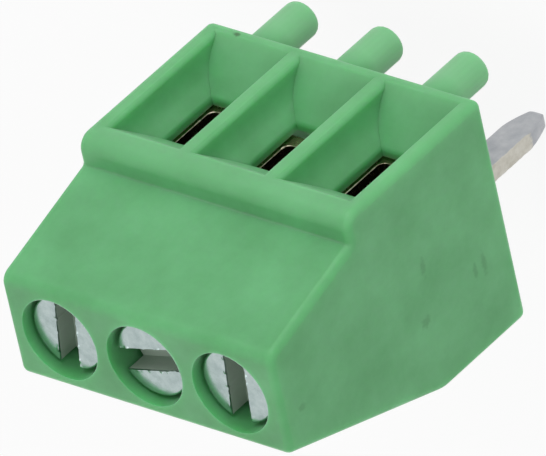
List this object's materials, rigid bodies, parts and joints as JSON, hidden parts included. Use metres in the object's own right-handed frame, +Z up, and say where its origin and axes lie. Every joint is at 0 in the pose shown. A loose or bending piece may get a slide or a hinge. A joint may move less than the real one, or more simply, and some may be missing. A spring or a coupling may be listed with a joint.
{
  "type": "pcb screw terminal",
  "caption": "Small green screw terminal for a circuit board: wedge-shaped housing with wire funnels, captive slotted screws over rising clamp sleeves, locating pegs and flat solder pins.",
  "frame": {"origin": "the middle solder pin's axis where it meets the board", "axes": "+Z up from the board towards the screw heads, -Y towards the incoming wires, X along the row of poles"},
  "size_m": [0.008, 0.0062, 0.0118],
  "materials": {
    "green_housing": "satin moulded polyamide",
    "zinc_screw": "zinc plated, lightly scuffed",
    "plated_sleeve": "nickel plated",
    "tinned_contact": "matt tin plated"
  },
  "bodies": {
    "base": {"housing": "green_housing", "contact_1": "tinned_contact", "contact_2": "tinned_contact", "contact_3": "tinned_contact"},
    "screw_1": {"screw_1": "zinc_screw"},
    "sleeve_1": {"clamp_sleeve_1": "plated_sleeve"},
    "screw_2": {"screw_2": "zinc_screw"},
    "sleeve_2": {"clamp_sleeve_2": "plated_sleeve"},
    "screw_3": {"screw_3": "zinc_screw"},
    "sleeve_3": {"clamp_sleeve_3": "plated_sleeve"}
  },
  "joints": [
    {"name": "screw_1_turn", "type": "hinge", "parent": "base", "child": "screw_1", "pos_m": [0.00254, -0.00005, 0.00822], "axis": [0, 0, 1], "range_deg": [-1620, 0]},
    {"name": "sleeve_1_lift", "type": "slide", "parent": "base", "child": "sleeve_1", "axis": [0, 0, 1], "range_m": [0, 0.00158]},
    {"name": "screw_2_turn", "type": "hinge", "parent": "base", "child": "screw_2", "pos_m": [0, -0.00005, 0.00822], "axis": [0, 0, 1], "range_deg": [-1260, 360]},
    {"name": "sleeve_2_lift", "type": "slide", "parent": "base", "child": "sleeve_2", "axis": [0, 0, 1], "range_m": [-0.00035, 0.00122]},
    {"name": "screw_3_turn", "type": "hinge", "parent": "base", "child": "screw_3", "pos_m": [-0.00254, -0.00005, 0.00822], "axis": [0, 0, 1], "range_deg": [-1620, 0]},
    {"name": "sleeve_3_lift", "type": "slide", "parent": "base", "child": "sleeve_3", "axis": [0, 0, 1], "range_m": [0, 0.00158]}
  ],
  "couplings": [
    {"joint": "screw_1_turn", "follows": "sleeve_1_lift", "rad_per_m": -17952},
    {"joint": "screw_2_turn", "follows": "sleeve_2_lift", "rad_per_m": -17952},
    {"joint": "screw_3_turn", "follows": "sleeve_3_lift", "rad_per_m": -17952}
  ]
}
